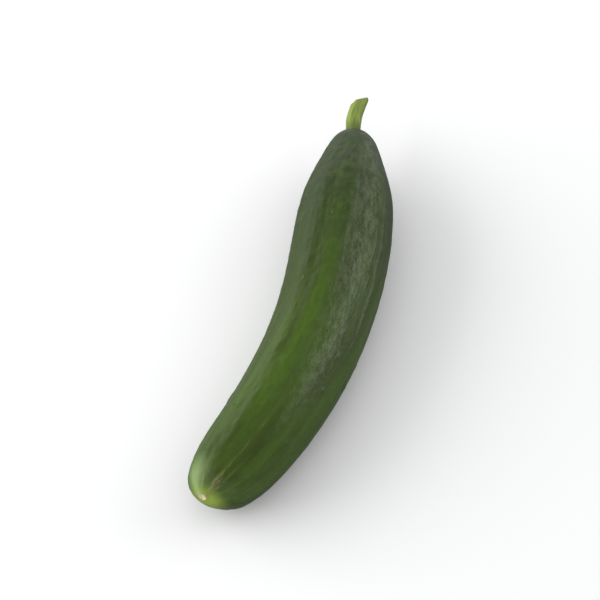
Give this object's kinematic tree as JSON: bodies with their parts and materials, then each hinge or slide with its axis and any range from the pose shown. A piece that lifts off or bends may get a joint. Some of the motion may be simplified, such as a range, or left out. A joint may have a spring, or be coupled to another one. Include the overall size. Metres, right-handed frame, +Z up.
{
  "type": "cucumber",
  "caption": "Whole smooth-skinned cucumber lying on its side, gently bent, with shallow lengthwise ribs, a blossom scar and the cut stub of its stalk.",
  "frame": {"origin": "on the surface the cucumber lies on, under the middle of its box", "axes": "+X from the blossom end to the stem end, +Y towards the hollow side of the bend, +Z up"},
  "size_m": [0.1849, 0.0424, 0.0372],
  "materials": {
    "skin": "satin",
    "stalk": "matte"
  },
  "bodies": {
    "root": {"fruit": "skin", "stem": "stalk"}
  },
  "joints": []
}
